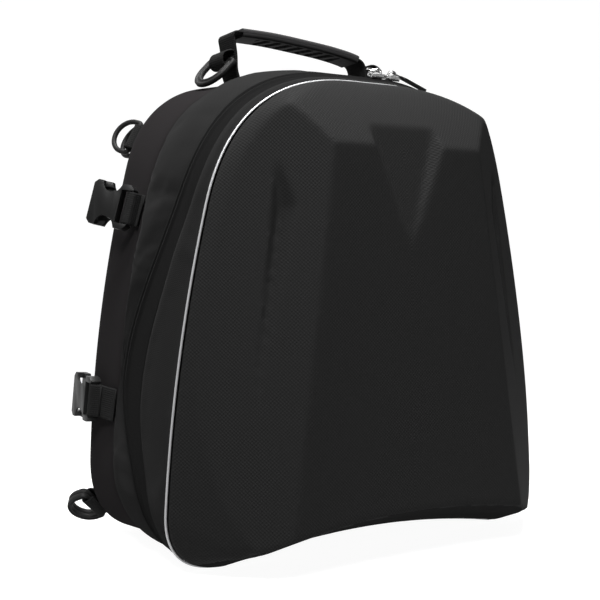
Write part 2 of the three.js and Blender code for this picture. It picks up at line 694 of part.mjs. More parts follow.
function addZipSliders() {
  const back = dividingLine(ZIP_LINE, bodySize(0).top);
  const tilt = degToRad(SLIDER.tilt);
  const across = vec3(0, Math.cos(tilt), Math.sin(tilt));
  const seatAt = (x) => vec3(x, PIPING_Y + back, topAt(back, x))
    .addScaledVector(vec3(0, -Math.sin(tilt), Math.cos(tilt)), SLIDER.lift);
  const right = vec3(1, 0, 0);
  const left = vec3(-1, 0, 0);
  const slope = degToRad(PULL.slope);
  const hang = vec3(Math.cos(slope), 0, -Math.sin(slope));
  const acrossLeft = across.clone().negate();
  add('slider_left', placed(sliderShape(), seatAt(LEFT_SLIDER), left, acrossLeft), 'chrome');
  add('slider_right', placed(sliderShape(), seatAt(RIGHT_SLIDER), right, across), 'chrome');

  const eye = SLIDER.thickness + BAIL.eye;
  const ring = wireRing().translate(0, 0, eye);
  add('slider_ring', placed(ring, seatAt(LEFT_SLIDER), left, acrossLeft), 'chrome');
  const tab = box(PULL.length, PULL.width, PULL.thickness,
    vec3(2 * PULL_RING.radius + PULL.length / 2 - PULL.overlap, 0, eye));
  const pull = toGeometry(toSolid(ring).add(toSolid(tab)));
  add('zip_pull', placed(pull, seatAt(RIGHT_SLIDER), hang, across), 'plastic');
}

addBody();
EDGE_RINGS.forEach(addEdgeRings);
SIDE_STRAPS.forEach(addSideStrap);
addHandle();
addZipSliders();

export default bag;
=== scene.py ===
"""Studio view of a motorcycle backpack with a moulded front shell and a soft rear compartment.

Lengths are millimetres until a mesh is made. X runs across the bag, Y from its front to its back
and Z up from the ground.
"""
from math import copysign, cos, hypot, log, pi, radians, sin, tan
from types import SimpleNamespace as Values

import bmesh
import bpy
import numpy as np
from mathutils import Matrix, Vector


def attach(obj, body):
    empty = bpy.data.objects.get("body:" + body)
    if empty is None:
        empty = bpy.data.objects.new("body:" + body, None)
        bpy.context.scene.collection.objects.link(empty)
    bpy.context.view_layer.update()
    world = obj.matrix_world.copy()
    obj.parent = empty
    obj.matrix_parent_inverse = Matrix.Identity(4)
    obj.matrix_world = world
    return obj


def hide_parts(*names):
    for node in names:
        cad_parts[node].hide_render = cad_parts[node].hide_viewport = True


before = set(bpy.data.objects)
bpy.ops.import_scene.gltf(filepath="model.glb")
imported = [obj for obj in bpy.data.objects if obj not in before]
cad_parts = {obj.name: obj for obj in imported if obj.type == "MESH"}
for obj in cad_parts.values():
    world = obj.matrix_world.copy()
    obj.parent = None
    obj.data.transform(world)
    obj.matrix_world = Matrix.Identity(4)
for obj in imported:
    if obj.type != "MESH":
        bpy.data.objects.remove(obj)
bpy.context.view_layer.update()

MM = 0.001
UP = np.array([0.0, 0.0, 1.0])
BACKWARD = np.array([0.0, 1.0, 0.0])

# Body outlines at several distances behind the piped seam. half_base and half_top are the half widths
# of the sharp corners, bow is the swell of the sides and arch the rise of the underside's middle.
PIPING_Y = -100.0
SECTION_BACKS = [0, 22, 80, 124]
SECTIONS = {
    "base": [2.8, 0, 0, 0],
    "arch": [12, 9, 0, 0],
    "top": [357, 366, 366, 366],
    "half_base": [168, 171, 176, 180],
    "half_top": [108, 113, 121, 128],
    "bow": [13, 14, 16, 15],
    "base_corner": [43, 58, 78, 64],
    "top_corner": [95, 94, 86, 70],
}
STRETCH_STEPS = {"bottom": 30, "base_corner": 22, "side": 56, "top_corner": 34, "top": 20}
SEAM_BACK = 80.0
REAR_EDGE_BACK = 124.0
REAR_ROUND = 15.0
UPPER_HALF = 200.0

# Dividing lines of the soft strips, which bow backwards low down on the side
ZIP_LINE = Values(edge=21, swell=54, peak=125, below=85, above=130)
WELT_LINE = Values(edge=9, swell=37, peak=125, below=70, above=115)
PUFF_SHARE = 0.2
REST_HEIGHT = 45.0
PAD_POWER = 2.4
PAD_STEPS = 14
CLOTH = 2.0
SEAM_SINK = 1.4
ZIP_SINK = 4.0

# Padding of the bands, and how they and the rear compartment settle as cloth
FRONT_BAND = Values(start=2.9, puff=4, ridge=0.66, pressure=2.0, slack=0.0, cap=2.0)
REAR_BAND = Values(puff=5, ridge=0.6, pressure=2.0, slack=0.01, cap=2.0)
COMPARTMENT = Values(pressure=1.5, slack=0.02, cap=2.5)

# Front shell
SHELL_START = 2.9
SHELL_ROWS = 50
SHELL_RIM = 6.0
SHELL_TOP_FORWARD = 80.0
SIDE_BEVEL_LIMIT = 40.0
TOP_BEVEL = 0.6
SHELL_CORNER = {"top": 10, "base": 14, "reach": 30}
BASE_DRAFT = 0.42
BROW = Values(rise=58, reach=56, power=1.5)
PLATEAU = Values(forward=68, fall=0.032)
FLANK = Values(forward=149.4, fall=0.138, slope=0.77)
VEE = Values(apex=232, top=345, floor_half=36.5, floor_fall=0.148, wall_run=32, wall_rise=40)
DART_TOP = (97, 298)
DART_INNER = (87, 261)
DART_TIP = (121, 103)
DART_DEEP = Values(across=94, height=258, depth=9)
SHELL_VOXEL = 2.0
SHELL_SOFTENING = Values(factor=0.5, iterations=6)
# Faces that look down more steeply than this have a darker cloth, painted shade in place of the shadow
# under the bag
PAINTED_SHADE_TURN = -0.8

# Hardware
WEBBING = Values(width=25, thickness=1.6, edge_share=0.45)
RING = Values(width=32, depth=25, bar=4.2, thickness=4, corner=3)
RING_STEPS = Values(bow=40, corner=8, bar=8)
# Quarter of a grooved section, in shares of its half width and half height
GROOVED_QUARTER = [(1, 0), (1, 0.6), (0.8, 1), (0.45, 1), (0.25, 0.55), (0, 0.5)]
LOOP = Values(tail=4, wall=1.8, slack=0.8, taper=0.6, clearance=1, bend=0.4, fold=0.45)
LOOP_STEPS = 40
EDGE_RINGS = [
    Values(name="upper", height=324, outward=22.5, fan=8.5, twist=0, spacing=5.6, grooved=False),
    Values(name="lower", height=24, outward=45, fan=0, twist=-20, spacing=4.3, grooved=True),
]
BUCKLE = Values(
    length=31, width=35, thickness=8.5, corner=3,
    neck_start=7, neck_end=18, neck_depth=7,
    mouth_depth=18, mouth_width=27, mouth_height=5.4,
    slot=7, slot_width=26, bar=3, bar_thickness=4,
    window_at=17, window_length=6.5, window_depth=8, window_steps=24, notch_power=0.8, edge=0.9,
)
STRAP = Values(start=82, fold=10, fold_steps=9, steps=90)
SIDE_STRAPS = [
    Values(name="upper", height=260, tilt=5, bend=90, lift=1.8, outward=34, free=4),
    Values(name="lower", height=112, tilt=3, bend=97, lift=3.6, outward=-12, free=11),
]
GAP = 0.3

# Carrying handle
HANDLE_BACK = 104.0
HANDLE_STRAP = Values(width=28, thickness=2.4, steps=140)
HANDLE_FOOT = Values(across=62, lift=1.1)
HANDLE_ROUTE = [
    (-65, 376), (-65.6, 388), (-67, 398), (-68, 404), (-65.5, 406.6), (-58, 406.8), (-30, 406),
    (0, 403.4), (30, 400), (52, 395.5), (59, 390), (61, 378),
]
GRIP = Values(width=28, height=7, corner=2.2, first=0.25, last=0.833, steps=360)
RIB = Values(pitch=10.3, slant=0.23, depth=2.6, margin=16, half_share=0.36, slot_share=0.5)
TOP_RING = Values(across=72, height=384, slope=47, twist=11, width=35, depth=30, bar=7)
TOP_LOOP_ROUTE = [
    (-67, 391.5), (-71, 391.5), (-75.5, 389.5), (-77.5, 385), (-76.5, 380.5), (-73, 378.2),
    (-69.5, 379.5), (-68.3, 383), (-68.1, 387),
]
TOP_LOOP_STEPS = 60

# Zip sliders
SLIDER = Values(
    length=12, width=8.5, nose=5, thickness=3.6, tilt=22, lift=1.5,
    edge=0.6, gap_width=3, gap_height=1.2,
)
BAIL = Values(radius=3.2, wall=1.1, width=2.4, sink=0.2, eye=2.1, steps=24)
LEFT_SLIDER = 25.0
RIGHT_SLIDER = 39.0
PULL_RING = Values(radius=4.6, wire=1.3, wire_steps=10, steps=40)
PULL = Values(width=8.5, thickness=3, length=23, slope=20, overlap=0.4, edge=1)

# Camera: place in metres, turned from straight ahead and tipped down in degrees
CAMERA_PLACE = (-0.4341, -0.7509, 0.2298)
CAMERA_TURN = 30.0
CAMERA_TIP = 2.84
CAMERA_LENS = 60.45
CAMERA_SENSOR = 36

# Studio lights, in metres, watts and degrees
LIGHTS = [
    Values(name="overhead", place=(-0.05, -0.1, 1.5), target=(0, -0.05, 0.3), size=0.8,
           power=8.0, spread=45),
    Values(name="upper_left", place=(-0.6, -0.8, 1.3), target=(-0.05, -0.15, 0.36), size=0.5,
           power=2.0, spread=35),
]
WORLD_STRENGTH = 0.14
FLOOR = Values(half=6000, front=-3000, depth=3500, rise=5000, bend=1500, bend_steps=12)


# Mesh helpers

def unit(vector):
    return np.asarray(vector, float) / np.linalg.norm(vector)


def around_circle(steps):
    """Angles of evenly spaced steps around a circle."""
    return np.linspace(0, 2 * pi, steps, endpoint=False)


def new_object(name, data):
    """New object in the scene for a mesh, a light or a camera."""
    made = bpy.data.objects.new(name, data)
    bpy.context.scene.collection.objects.link(made)
    return made


def smooth_faces(mesh):
    mesh.polygons.foreach_set("use_smooth", [True] * len(mesh.polygons))


def piece_from(name, points, faces, uvs=None):
    """New smooth-shaded object with the given corners, in millimetres."""
    mesh = bpy.data.meshes.new(name)
    mesh.from_pydata((np.asarray(points, float) * MM).tolist(), [], faces)
    smooth_faces(mesh)
    if uvs is not None:
        layer = mesh.uv_layers.new(name="lengths")
        layer.data.foreach_set("uv", np.asarray(uvs, float).ravel() * MM)
    mesh.update()
    return new_object(name, mesh)


def lengths_along(points):
    """Distance along a row of points at each of them."""
    return np.concatenate([[0], np.cumsum(np.linalg.norm(np.diff(points, axis=0), axis=1))])


def lengths_round(points):
    """Distance around a closed row of points at each of them, and back at the first."""
    return lengths_along(np.vstack([points, points[:1]]))


def loft(name, rows, closed=False, capped=False):
    """Skin through closed rows with equal numbers of points, with lengths as its texture places."""
    rows = np.asarray(rows, float)
    row_count, count = rows.shape[:2]
    around = lengths_round(rows[row_count // 2])
    along = lengths_round(rows[:, 0])
    faces = []
    uvs = []
    spans = row_count if closed else row_count - 1
    for r in range(spans):
        low = r * count
        high = ((r + 1) % row_count) * count
        for k in range(count):
            after = (k + 1) % count
            faces.append((low + k, low + after, high + after, high + k))
            uvs += [(around[k], along[r]), (around[k + 1], along[r])]
            uvs += [(around[k + 1], along[r + 1]), (around[k], along[r + 1])]
    points = rows.reshape(-1, 3)
    if capped:
        points = np.vstack([points, rows[0].mean(axis=0), rows[-1].mean(axis=0)])
        for k in range(count):
            after = (k + 1) % count
            last = (row_count - 1) * count
            faces.append((row_count * count, after, k))
            faces.append((row_count * count + 1, last + k, last + after))
            uvs += [(0, 0)] * 6
    return piece_from(name, points, faces, uvs)


def move_to(piece, origin, along, across):
    """Moves a piece drawn along X, Y and Z, in metres, to the given place in millimetres."""
    columns = np.array([along, across, np.cross(along, across)]).T
    matrix = Matrix.Identity(4)
    for row in range(3):
        for column in range(3):
            matrix[row][column] = columns[row, column]
        matrix[row][3] = origin[row] * MM
    piece.data.transform(matrix)
    piece.data.update()
    return piece


def settle(piece):
    """Applies the modifiers of a piece."""
    graph = bpy.context.evaluated_depsgraph_get()
    mesh = bpy.data.meshes.new_from_object(piece.evaluated_get(graph))
    piece.modifiers.clear()
    piece.data = mesh
    return piece


def shade_smooth(piece, sharp_degrees=35):
    smooth_faces(piece.data)
    piece.data.set_sharp_from_angle(angle=radians(sharp_degrees))
    return piece


WELD_DISTANCE = 0.05


def thicken(piece, thickness):
    """Gives a sheet a wall inward of its surface, after joining the points that lie together."""
    weld = piece.modifiers.new("weld", "WELD")
    weld.merge_threshold = WELD_DISTANCE * MM
    solid = piece.modifiers.new("wall", "SOLIDIFY")
    solid.thickness = thickness * MM
    solid.offset = 1
    return settle(piece)


def round_edges(piece, width, segments=2, degrees=30):
    bevel = piece.modifiers.new("edges", "BEVEL")
    bevel.width = width * MM
    bevel.segments = segments
    bevel.limit_method = "ANGLE"
    bevel.angle_limit = radians(degrees)
    return shade_smooth(settle(piece))


def cut(piece, cutter):
    """Takes the shape of the cutter out of a piece and deletes the cutter."""
    boolean = piece.modifiers.new("cut", "BOOLEAN")
    boolean.operation = "DIFFERENCE"
    boolean.solver = "EXACT"
    boolean.object = cutter
    settle(piece)
    bpy.data.objects.remove(cutter)
    return piece


def hull(name, points):
    """Convex block around some points."""
    mesh = bmesh.new()
    for point in points:
        mesh.verts.new(Vector(point) * MM)
    bmesh.ops.convex_hull(mesh, input=mesh.verts)
    data = bpy.data.meshes.new(name)
    mesh.to_mesh(data)
    mesh.free()
    return new_object(name, data)


def box_block(name, size, centre):
    half = np.array(size, float) / 2
    signs = [(x, y, z) for x in (-1, 1) for y in (-1, 1) for z in (-1, 1)]
    return hull(name, [np.array(centre, float) + half * np.array(s) for s in signs])


def extruded(name, edge, low, high):
    """Flat plate between two heights, with the given edge in X and Y."""
    count = len(edge)
    points = [(x, y, z) for z in (low, high) for x, y in edge]
    faces = [tuple(reversed(range(count))), tuple(range(count, 2 * count))]
    for k in range(count):
        after = (k + 1) % count
        faces.append((k, after, count + after, count + k))
    return piece_from(name, points, faces)


def mirrored(piece, name):
    """Copy of a piece on the other side of the bag."""
    copy = new_object(name, piece.data.copy())
    copy.data.transform(Matrix.Diagonal((-1, 1, 1, 1)))
    copy.data.flip_normals()
    return copy


FINE_STEPS = 24


def catmull_rom(points, steps):
    """Smooth route through points, evenly spaced."""
    points = np.asarray(points, float)
    padded_points = np.vstack([2 * points[0] - points[1], points, 2 * points[-1] - points[-2]])
    fine = []
    for k in range(1, len(padded_points) - 2):
        a, b, c, d = padded_points[k - 1:k + 3]
        for t in np.linspace(0, 1, FINE_STEPS, endpoint=False):
            fine.append(0.5 * (2 * b + (c - a) * t + (2 * a - 5 * b + 4 * c - d) * t ** 2
                               + (3 * b - a - 3 * c + d) * t ** 3))
    fine.append(points[-1])
    fine = np.array(fine)
    lengths = lengths_along(fine)
    wanted = np.linspace(0, lengths[-1], steps + 1)
    return np.stack([np.interp(wanted, lengths, fine[:, axis]) for axis in range(3)], axis=1)


def rounded_section(width, thickness, corner, corner_steps=4, flat_steps=8):
    """Closed outline of a band's section, with extra points along its flat faces."""
    half_width = width / 2 - corner
    half_thickness = thickness / 2 - corner
    centres = [(half_width, half_thickness), (-half_width, half_thickness),
               (-half_width, -half_thickness), (half_width, -half_thickness)]
    points = []
    for quarter, (x, y) in enumerate(centres):
        for step in range(corner_steps + 1):
            angle = pi / 2 * (quarter + step / corner_steps)
            points.append((x + corner * cos(angle), y + corner * sin(angle)))
        if quarter % 2 == 0:
            end = centres[(quarter + 1) % 4]
            sign = 1 if quarter == 0 else -1
            for step in range(1, flat_steps):
                share = step / flat_steps
                points.append((x + (end[0] - x) * share, y + sign * corner))
    return np.array(points)


def band_frames(route, width_axis):
    """Side and rise directions at each point of a band's route."""
    ahead = np.vstack([route[1:], route[-1:]])
    behind = np.vstack([route[:1], route[:-1]])
    frames = []
    for direction in ahead - behind:
        direction = unit(direction)
        side = unit(width_axis - np.dot(width_axis, direction) * direction)
        frames.append((side, np.cross(direction, side)))
    return frames


def band(name, route, width_axis, width, thickness):
    """Flat webbing with rounded edges along a route."""
    section = rounded_section(width, thickness, thickness * WEBBING.edge_share)
    rows = []
    for point, (side, rise) in zip(route, band_frames(route, width_axis)):
        rows.append(point + section[:, :1] * side + section[:, 1:] * rise)
    return loft(name, rows, capped=True)


# Body outlines

def stretch_parameters():
    """Stretch and place along it for every point of the right half, from the base to the top."""
    rows = []
    for stretch, steps in enumerate(STRETCH_STEPS.values()):
        rows += [(stretch, step / steps) for step in range(steps)]
    rows.append((len(STRETCH_STEPS) - 1, 1.0))
    return np.array(rows)


RIGHT_HALF = stretch_parameters()
LEFT_HALF = RIGHT_HALF[-2:0:-1]
OUTLINE = np.vstack([RIGHT_HALF, LEFT_HALF])
OUTLINE_SIDE = np.concatenate([np.ones(len(RIGHT_HALF)), -np.ones(len(LEFT_HALF))])
OUTLINE_COUNT = len(OUTLINE)


def curve(a, b, c, t):
    """Quadratic curve from a to c that heads for b, for pairs of X and Z."""
    return [(1 - t) ** 2 * p + 2 * t * (1 - t) * q + t ** 2 * r for p, q, r in zip(a, b, c)]


def outline(base, arch, top, half_base, half_top, bow, base_corner, top_corner):
    """X and Z of the closed outline, from the middle of the base, up the right side and round."""
    height = top - base

    def side(s):
        return half_base + (half_top - half_base) * s + 4 * bow * s * (1 - s), base + s * height

    def tangent(s, z):
        lean = (half_top - half_base + 4 * bow * (1 - 2 * s)) / height
        x, start = side(s)
        return x + lean * (z - start), z

    low = base_corner / height
    high = 1 - top_corner / height
    base_tip = tangent(low, base)
    top_tip = tangent(high, top)
    side_tip = tangent(low, base + height * (low + high) / 2)
    base_end = (base_tip[0] - base_corner, base)
    top_end = (top_tip[0] - top_corner, top)
    base_middle = (0, base + arch)
    base_ease = (base_end[0] / 2, base + arch)
    top_middle = (0, top)
    top_halfway = (top_end[0] / 2, top)
    t = OUTLINE[:, 1]
    stretches = [
        curve(base_middle, base_ease, base_end, t),
        curve(base_end, base_tip, side(low), t),
        curve(side(low), side_tip, side(high), t),
        curve(side(high), top_tip, top_end, t),
        curve(top_end, top_halfway, top_middle, t),
    ]
    chosen = [OUTLINE[:, 0] == k for k in range(len(stretches))]
    x = np.select(chosen, [s[0] for s in stretches]) * OUTLINE_SIDE
    z = np.select(chosen, [s[1] + 0 * t for s in stretches])
    return np.stack([x, z], axis=1)


def outward(ring):
    """Outward directions along a closed flat outline."""
    run = np.roll(ring, -1, axis=0) - np.roll(ring, 1, axis=0)
    normal = np.stack([run[:, 1], -run[:, 0]], axis=1)
    return normal / np.linalg.norm(normal, axis=1, keepdims=True)


def body_outline(back):
    """X and Z around the body at a distance behind the piped seam."""
    return outline(**{key: np.interp(back, SECTION_BACKS, values) for key, values in SECTIONS.items()})


def body_row(back, lift=0.0):
    """Points around the body, at a distance behind the piped seam and lifted off its surface."""
    ring = body_outline(back)
    ring = ring + outward(ring) * np.reshape(lift, (-1, 1))
    y = PIPING_Y + np.broadcast_to(back, (OUTLINE_COUNT,))
    return np.stack([ring[:, 0], y, ring[:, 1]], axis=1)


def left_side_at(back, height):
    """Place on the left side of the body and the upward direction along it."""
    ring = body_outline(back)[OUTLINE_COUNT // 2:]
    ring = ring[np.argsort(ring[:, 1])]
    place = np.interp(height, ring[:, 1], ring[:, 0])
    step = 2.0
    above = np.interp(height + step, ring[:, 1], ring[:, 0])
    below = np.interp(height - step, ring[:, 1], ring[:, 0])
    direction = unit([above - below, 0, 2 * step])
    return np.array([place, PIPING_Y + back, height]), direction


def top_at(back, across):
    """Height of the top of the body at a distance from the middle."""
    ring = body_outline(back)[:OUTLINE_COUNT // 2 + 1]
    upper = ring[ring[:, 1] > UPPER_HALF][::-1]
    return np.interp(across, upper[:, 0], upper[:, 1])


# Soft strips and rear compartment

STRIP_HEIGHTS = body_outline(SEAM_BACK / 2)[:, 1]
# Padding fades out towards the base, where the strips lie on the floor
RESTING = np.clip(STRIP_HEIGHTS / REST_HEIGHT, 0, 1)


def dividing_line(line, height=STRIP_HEIGHTS):
    spread = np.where(height < line.peak, line.below, line.above)
    return line.edge + line.swell * np.exp(-(((height - line.peak) / spread) ** 2))


def padded_strip(name, front, rear, padding, front_sink=SEAM_SINK):
    """Strip between two dividing lines. ridge is how far across it the padding is highest."""
    width = rear - front
    height = np.minimum(padding.puff, width * PUFF_SHARE) * RESTING
    power = log(0.5) / log(padding.ridge)
    rows = []
    for share in np.linspace(0, 1, PAD_STEPS + 1):
        bulge = 1 - abs(2 * share ** power - 1) ** PAD_POWER
        sink = front_sink + (SEAM_SINK - front_sink) * share
        rows.append(body_row(front + width * share, -sink + (height + sink) * bulge))
    return loft(name, rows)


# Section of the zip's groove: distance from the zip strip's rear edge and lift off the body
ZIP_GROOVE = [(7.0, -0.2), (6.2, 0.9), (5.3, 0.9), (4.9, -2.6), (3.0, -2.6), (2.6, 0.9), (1.7, 0.9),
              (0.9, -0.6), (0.0, -3.0)]
ZIP_FLAT_STEPS = 6
ZIP_COIL = Values(inset=3.95, lift=-2.0, steps=8)


def zip_strip():
    """Flat strip with the zip's groove along its rear edge."""
    front = dividing_line(WELT_LINE) + GAP
    rear = dividing_line(ZIP_LINE)
    groove_start = rear - ZIP_GROOVE[0][0]
    rows = []
    for share in np.linspace(0, 1, ZIP_FLAT_STEPS, endpoint=False):
        lift = -SEAM_SINK * (1 - share) + ZIP_GROOVE[0][1] * share
        rows.append(body_row(front + (groove_start - front) * share, lift))
    for distance, lift in ZIP_GROOVE:
        rows.append(body_row(rear - distance, np.minimum(lift, lift * RESTING)))
    return loft("zip_strip_cloth", rows)


def zip_coil():
    """Coil of the zip at the bottom of its groove, 1 mm in radius."""
    back = dividing_line(ZIP_LINE) - ZIP_COIL.inset
    rows = []
    for angle in around_circle(ZIP_COIL.steps):
        rows.append(body_row(back + sin(angle), ZIP_COIL.lift + cos(angle)))
    return loft("zip_coil", rows, closed=True)


LINING = Values(first=0, last=88, steps=8, depth=6.5, wall=1)


def lining():
    """Inner cloth behind the seams, which lets no light through them."""
    rows = []
    for back in np.linspace(LINING.first, LINING.last, LINING.steps + 1):
        rows.append(body_row(back, -LINING.depth))
    return thicken(loft("seam_lining", rows), LINING.wall)


# Rows of the rear compartment, the upright line in the middle of its back panel, and the share of its
# sides over which the sunk seam rises
SIDE_STEPS = 11
ROUND_STEPS = 6
PANEL_STEPS = 12
PANEL_LINE = (120, 250)
SINK_SHARE = 0.125


def rear_cloth():
    """Sides and back panel of the rear compartment."""
    rows = []
    for share in np.linspace(0, 1, SIDE_STEPS + 1):
        back = SEAM_BACK + GAP + (REAR_EDGE_BACK - SEAM_BACK - GAP) * share
        rows.append(body_row(back, -SEAM_SINK * max(0, 1 - share / SINK_SHARE)))
    for angle in np.linspace(0, pi / 2, ROUND_STEPS + 1)[1:]:
        row = body_row(REAR_EDGE_BACK, REAR_ROUND * (cos(angle) - 1))
        row[:, 1] += REAR_ROUND * sin(angle)
        rows.append(row)
    rim = rows[-1]
    core = rim * BACKWARD + UP * np.clip(rim[:, 2:], *PANEL_LINE)
    for share in np.linspace(0, 1, PANEL_STEPS + 1)[1:]:
        rows.append(rim + (core - rim) * share)
    return loft("rear_cloth", rows)


def panel_seams():
    """Rows of the rear compartment that are held while it settles: its edges and its back panel."""
    round_end = SIDE_STEPS + ROUND_STEPS
    return [0, SIDE_STEPS, *range(round_end, round_end + PANEL_STEPS + 1)]


CLOTH_FRAMES = 18
CLOTH_SETTINGS = {"quality": 4, "mass": 0.2, "bending_stiffness": 0.6, "use_pressure": True}
SMALLEST_MOVE = 1e-9


def cloth_settled(piece, pinned_rows, settling):
    """Lets a lofted sheet settle as cloth that is held along its seams, and keeps the moves small."""
    group = piece.vertex_groups.new(name="seams")
    pinned = [row * OUTLINE_COUNT + k for row in pinned_rows for k in range(OUTLINE_COUNT)]
    group.add(pinned, 1.0, "REPLACE")
    modifier = piece.modifiers.new("cloth", "CLOTH")
    settings = modifier.settings
    settings.vertex_group_mass = group.name
    for key, value in CLOTH_SETTINGS.items():
        setattr(settings, key, value)
    settings.shrink_min = -settling.slack
    settings.uniform_pressure_force = settling.pressure
    settings.effector_weights.gravity = 0
    modifier.collision_settings.use_collision = False
    modifier.point_cache.frame_end = CLOTH_FRAMES
    scene = bpy.context.scene
    for number in range(1, CLOTH_FRAMES + 1):
        scene.frame_set(number)
    graph = bpy.context.evaluated_depsgraph_get()
    moved = piece.evaluated_get(graph).to_mesh()
    after = np.empty(len(moved.vertices) * 3)
    moved.vertices.foreach_get("co", after)
    before = np.empty(len(after))
    piece.data.vertices.foreach_get("co", before)
    step = (after - before).reshape(-1, 3)
    length = np.linalg.norm(step, axis=1, keepdims=True)
    step *= np.minimum(1, settling.cap * MM / np.maximum(length, SMALLEST_MOVE))
    piece.modifiers.clear()
    piece.data.vertices.foreach_set("co", before + step.ravel())
    piece.data.update()
    scene.frame_set(1)
    return piece


def soft_piece(piece, pinned_rows, settling):
    cloth_settled(piece, pinned_rows, settling)
    return thicken(piece, CLOTH)


PIPING_RADIUS = 0.9
PIPING_LIFT = 0.6
PIPING_STEPS = 14


def piping():
    rows = []
    for angle in around_circle(PIPING_STEPS):
        row = body_row(0.0, PIPING_LIFT + PIPING_RADIUS * cos(angle))
        row[:, 1] += PIPING_RADIUS * sin(angle)
        rows.append(row)
    return loft("piping_cord", rows, closed=True)


# Front shell

def shell_row(forward):
    """Outline of the uncut shell at a distance forward of the piped seam."""
    grown = max(0.0, forward - SHELL_RIM)
    side_inset = min(grown, SIDE_BEVEL_LIMIT)
    tightening = min(grown / SHELL_CORNER["reach"], 1)
    size = {key: values[0] for key, values in SECTIONS.items()}
    size["base"] += BASE_DRAFT * grown
    size["top"] -= BROW.rise * min(grown / BROW.reach, 1) ** BROW.power
    size["half_base"] -= side_inset
    size["half_top"] -= side_inset * TOP_BEVEL
    for end in ("top", "base"):
        size[end + "_corner"] += (SHELL_CORNER[end] - size[end + "_corner"]) * tightening
    ring = outline(**size)
    y = np.full(OUTLINE_COUNT, PIPING_Y - forward)
    return np.stack([ring[:, 0], y, ring[:, 1]], axis=1)


def on_shell(across, forward, height):
    return np.array([across, PIPING_Y - forward, height], float)


def plateau_forward(height):
    return PLATEAU.forward - PLATEAU.fall * height


def flank_forward(across, height):
    return FLANK.forward - FLANK.slope * across - FLANK.fall * height


# Reach of the blocks that cut the facets, well beyond the shell
FACET = Values(half_width=260, low=-60, high=480, depth=400)


def block_in_front(forward_at):
    """Block in front of a plane, which is given by its forward distance at a place."""
    sides = (-FACET.half_width, FACET.half_width)
    corners = [(x, z) for x in sides for z in (FACET.low, FACET.high)]
    near = [on_shell(x, forward_at(x, z), z) for x, z in corners]
    far = [point - BACKWARD * FACET.depth for point in near]
    return hull("facet", near + far)


def vee_block():
    """Block that cuts the V-shaped recess at the top."""
    apex_forward = plateau_forward(VEE.apex)
    floor_forward = apex_forward - VEE.floor_fall * (VEE.top - VEE.apex)
    half = VEE.floor_half
    wide = half + VEE.wall_run
    points = [on_shell(0, apex_forward, VEE.apex)]
    for side in (-1, 1):
        points.append(on_shell(side * half, floor_forward, VEE.top))
        points.append(on_shell(side * wide, floor_forward + VEE.wall_rise, VEE.top))
    return hull("vee", points)


def dart_block(side):
    """Block that cuts the dart-shaped recess in a flank and reaches out of the shell."""
    reach = 30
    mouth = [on_shell(side * x, flank_forward(x, z), z) for x, z in (DART_TOP, DART_INNER, DART_TIP)]
    x, z = DART_DEEP.across, DART_DEEP.height
    deep = on_shell(side * x, flank_forward(x, z) - DART_DEEP.depth, z)
    lifted = [point + unit(point - deep) * reach for point in mouth]
    return hull("dart", [deep] + lifted)


def shell():
    """Front shell: its uncut form, cut to facets and recesses and then softened."""
    forwards = [SHELL_START, *np.linspace(SHELL_RIM, SHELL_TOP_FORWARD, SHELL_ROWS)]
    rows = [shell_row(f) for f in reversed(forwards)]
    rows.append(body_row(0.0, -SEAM_SINK))
    piece = loft("moulded_shell", rows, capped=True)
    cut(piece, block_in_front(lambda x, z: plateau_forward(z)))
    for side in (-1, 1):
        cut(piece, block_in_front(lambda x, z, s=side: flank_forward(s * x, z)))
    for side in (-1, 1):
        cut(piece, dart_block(side))
    cut(piece, vee_block())
    remesh = piece.modifiers.new("even", "REMESH")
    remesh.mode = "VOXEL"
    remesh.voxel_size = SHELL_VOXEL * MM
    smooth = piece.modifiers.new("soften", "SMOOTH")
    smooth.factor = SHELL_SOFTENING.factor
    smooth.iterations = SHELL_SOFTENING.iterations
    smooth_faces(settle(piece).data)
    return piece


# Rings, loops, straps and buckles

def ring_path(width, depth):
    """Middle line of a D-ring in X and Y, with its straight bar along Y at X = 0."""
    half = width / 2 - RING.bar / 2
    centre = depth - width / 2 - RING.bar / 2
    corner = RING.corner
    points = []
    for angle in np.linspace(-pi / 2, pi / 2, RING_STEPS.bow):
        points.append((centre + half * cos(angle), half * sin(angle)))
    for angle in np.linspace(pi / 2, pi, RING_STEPS.corner):
        points.append((corner + corner * cos(angle), half - corner + corner * sin(angle)))
    for share in np.linspace(0, 1, RING_STEPS.bar)[1:-1]:
        points.append((0, (half - corner) * (1 - 2 * share)))
    for angle in np.linspace(pi, 1.5 * pi, RING_STEPS.corner):
        points.append((corner + corner * cos(angle), corner - half + corner * sin(angle)))
    return np.array(points)


def grooved_section(bar):
    """Section of a flat ring with a groove along both faces."""
    half_width = bar / 2
    half_height = RING.thickness / 2
    quarter = [(half_width * x, half_height * y) for x, y in GROOVED_QUARTER]
    upper = quarter + [(-x, y) for x, y in reversed(quarter[:-1])]
    return np.array(upper + [(x, -y) for x, y in reversed(upper[1:-1])])


def round_section(radius, steps=14):
    angles = around_circle(steps)
    return np.stack([radius * np.cos(angles), radius * np.sin(angles)], axis=1)


def d_ring(name, section, size):
    path = ring_path(size.width, size.depth)
    rows = []
    for point, direction in zip(path, outward(path)):
        flat = point + section[:, :1] * direction
        rows.append(np.column_stack([flat, section[:, 1]]))
    return shade_smooth(loft(name, rows, closed=True), sharp_degrees=50)


